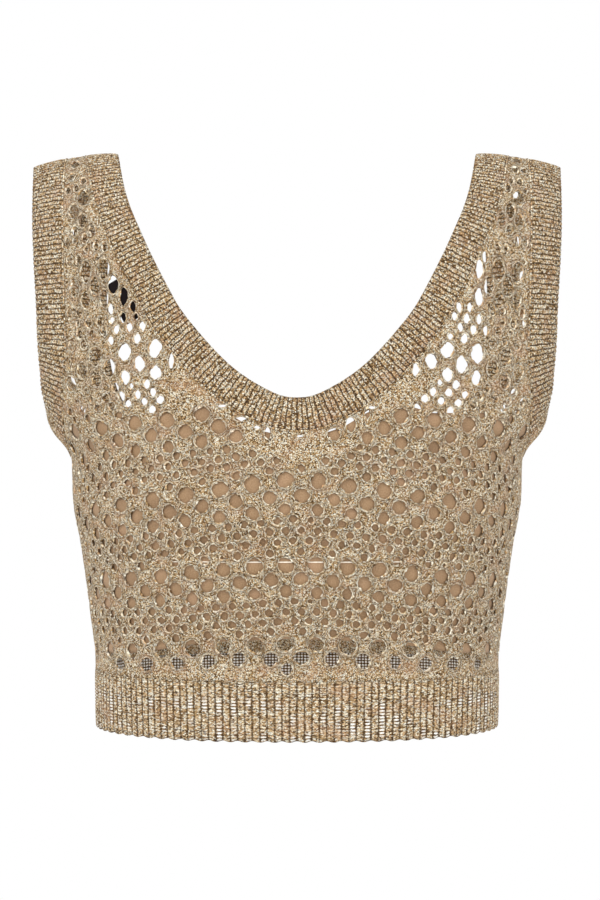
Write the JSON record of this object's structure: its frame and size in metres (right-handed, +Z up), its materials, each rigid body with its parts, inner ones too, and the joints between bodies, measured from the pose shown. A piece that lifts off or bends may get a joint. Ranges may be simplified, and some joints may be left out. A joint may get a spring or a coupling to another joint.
{
  "type": "cropped knit tank top",
  "caption": "Sleeveless cropped top in openwork lace knit, hollow as worn, with ribbed neck, armhole and hem bands and a jersey lining behind the front.",
  "frame": {"origin": "midway between the inner ends of the two shoulder seams, at their height, where the top is held when worn", "axes": "+Z up; the front of the top faces -Y; the wearer's right arm is at -X"},
  "size_m": [0.3774, 0.2269, 0.398],
  "materials": {
    "marled_yarn": "matte marled knit",
    "tan_jersey": "smooth matte jersey",
    "black_satin": "black woven satin"
  },
  "bodies": {
    "root": {"lace_front": "marled_yarn", "lace_back": "marled_yarn", "neckband_front": "marled_yarn", "neckband_back": "marled_yarn", "armband_right_front": "marled_yarn", "armband_right_back": "marled_yarn", "armband_left_front": "marled_yarn", "armband_left_back": "marled_yarn", "hem_rib_front": "marled_yarn", "hem_rib_back": "marled_yarn", "lining_front": "tan_jersey", "neck_tab": "black_satin"}
  },
  "joints": []
}
